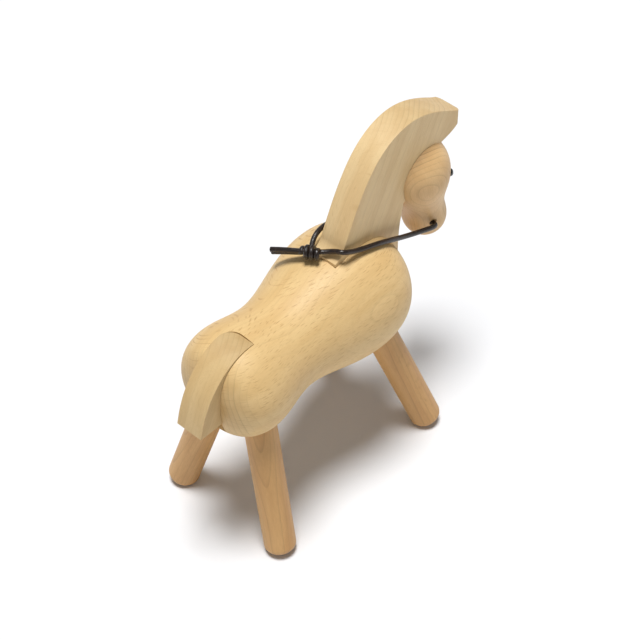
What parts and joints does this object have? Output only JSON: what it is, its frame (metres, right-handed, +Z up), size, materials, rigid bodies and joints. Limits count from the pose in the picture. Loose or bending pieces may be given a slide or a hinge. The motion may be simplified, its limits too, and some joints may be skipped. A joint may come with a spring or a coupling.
{
  "type": "wooden toy horse",
  "caption": "Standing toy horse of turned and sawn beech, with a slotted-in neck and tail, dowel legs, pin eyes and leather reins knotted behind the neck.",
  "frame": {"origin": "on the floor under the centre of the horse's box, measured without the reins", "axes": "+Z up, the horse faces -Y, +X to the horse's left"},
  "size_m": [0.0664, 0.145, 0.1423],
  "materials": {
    "beech": "oiled, satin",
    "leg_beech": "oiled, satin",
    "eye": "gloss",
    "lace": "slightly polished"
  },
  "bodies": {
    "horse": {"body": "beech", "neck": "beech", "head": "beech", "tail": "beech", "leg_front_left": "leg_beech", "leg_front_right": "leg_beech", "leg_rear_left": "leg_beech", "leg_rear_right": "leg_beech", "eye_left": "eye", "eye_right": "eye"},
    "reins": {"rein_right": "lace", "rein_left": "lace", "rein_in_muzzle": "lace", "reins_knot": "lace"}
  },
  "joints": [
    {"name": "rein_lift", "type": "hinge", "parent": "horse", "child": "reins", "pos_m": [0, -0.0548, 0.0828], "axis": [1, 0, 0], "range_deg": [0, 9]}
  ]
}
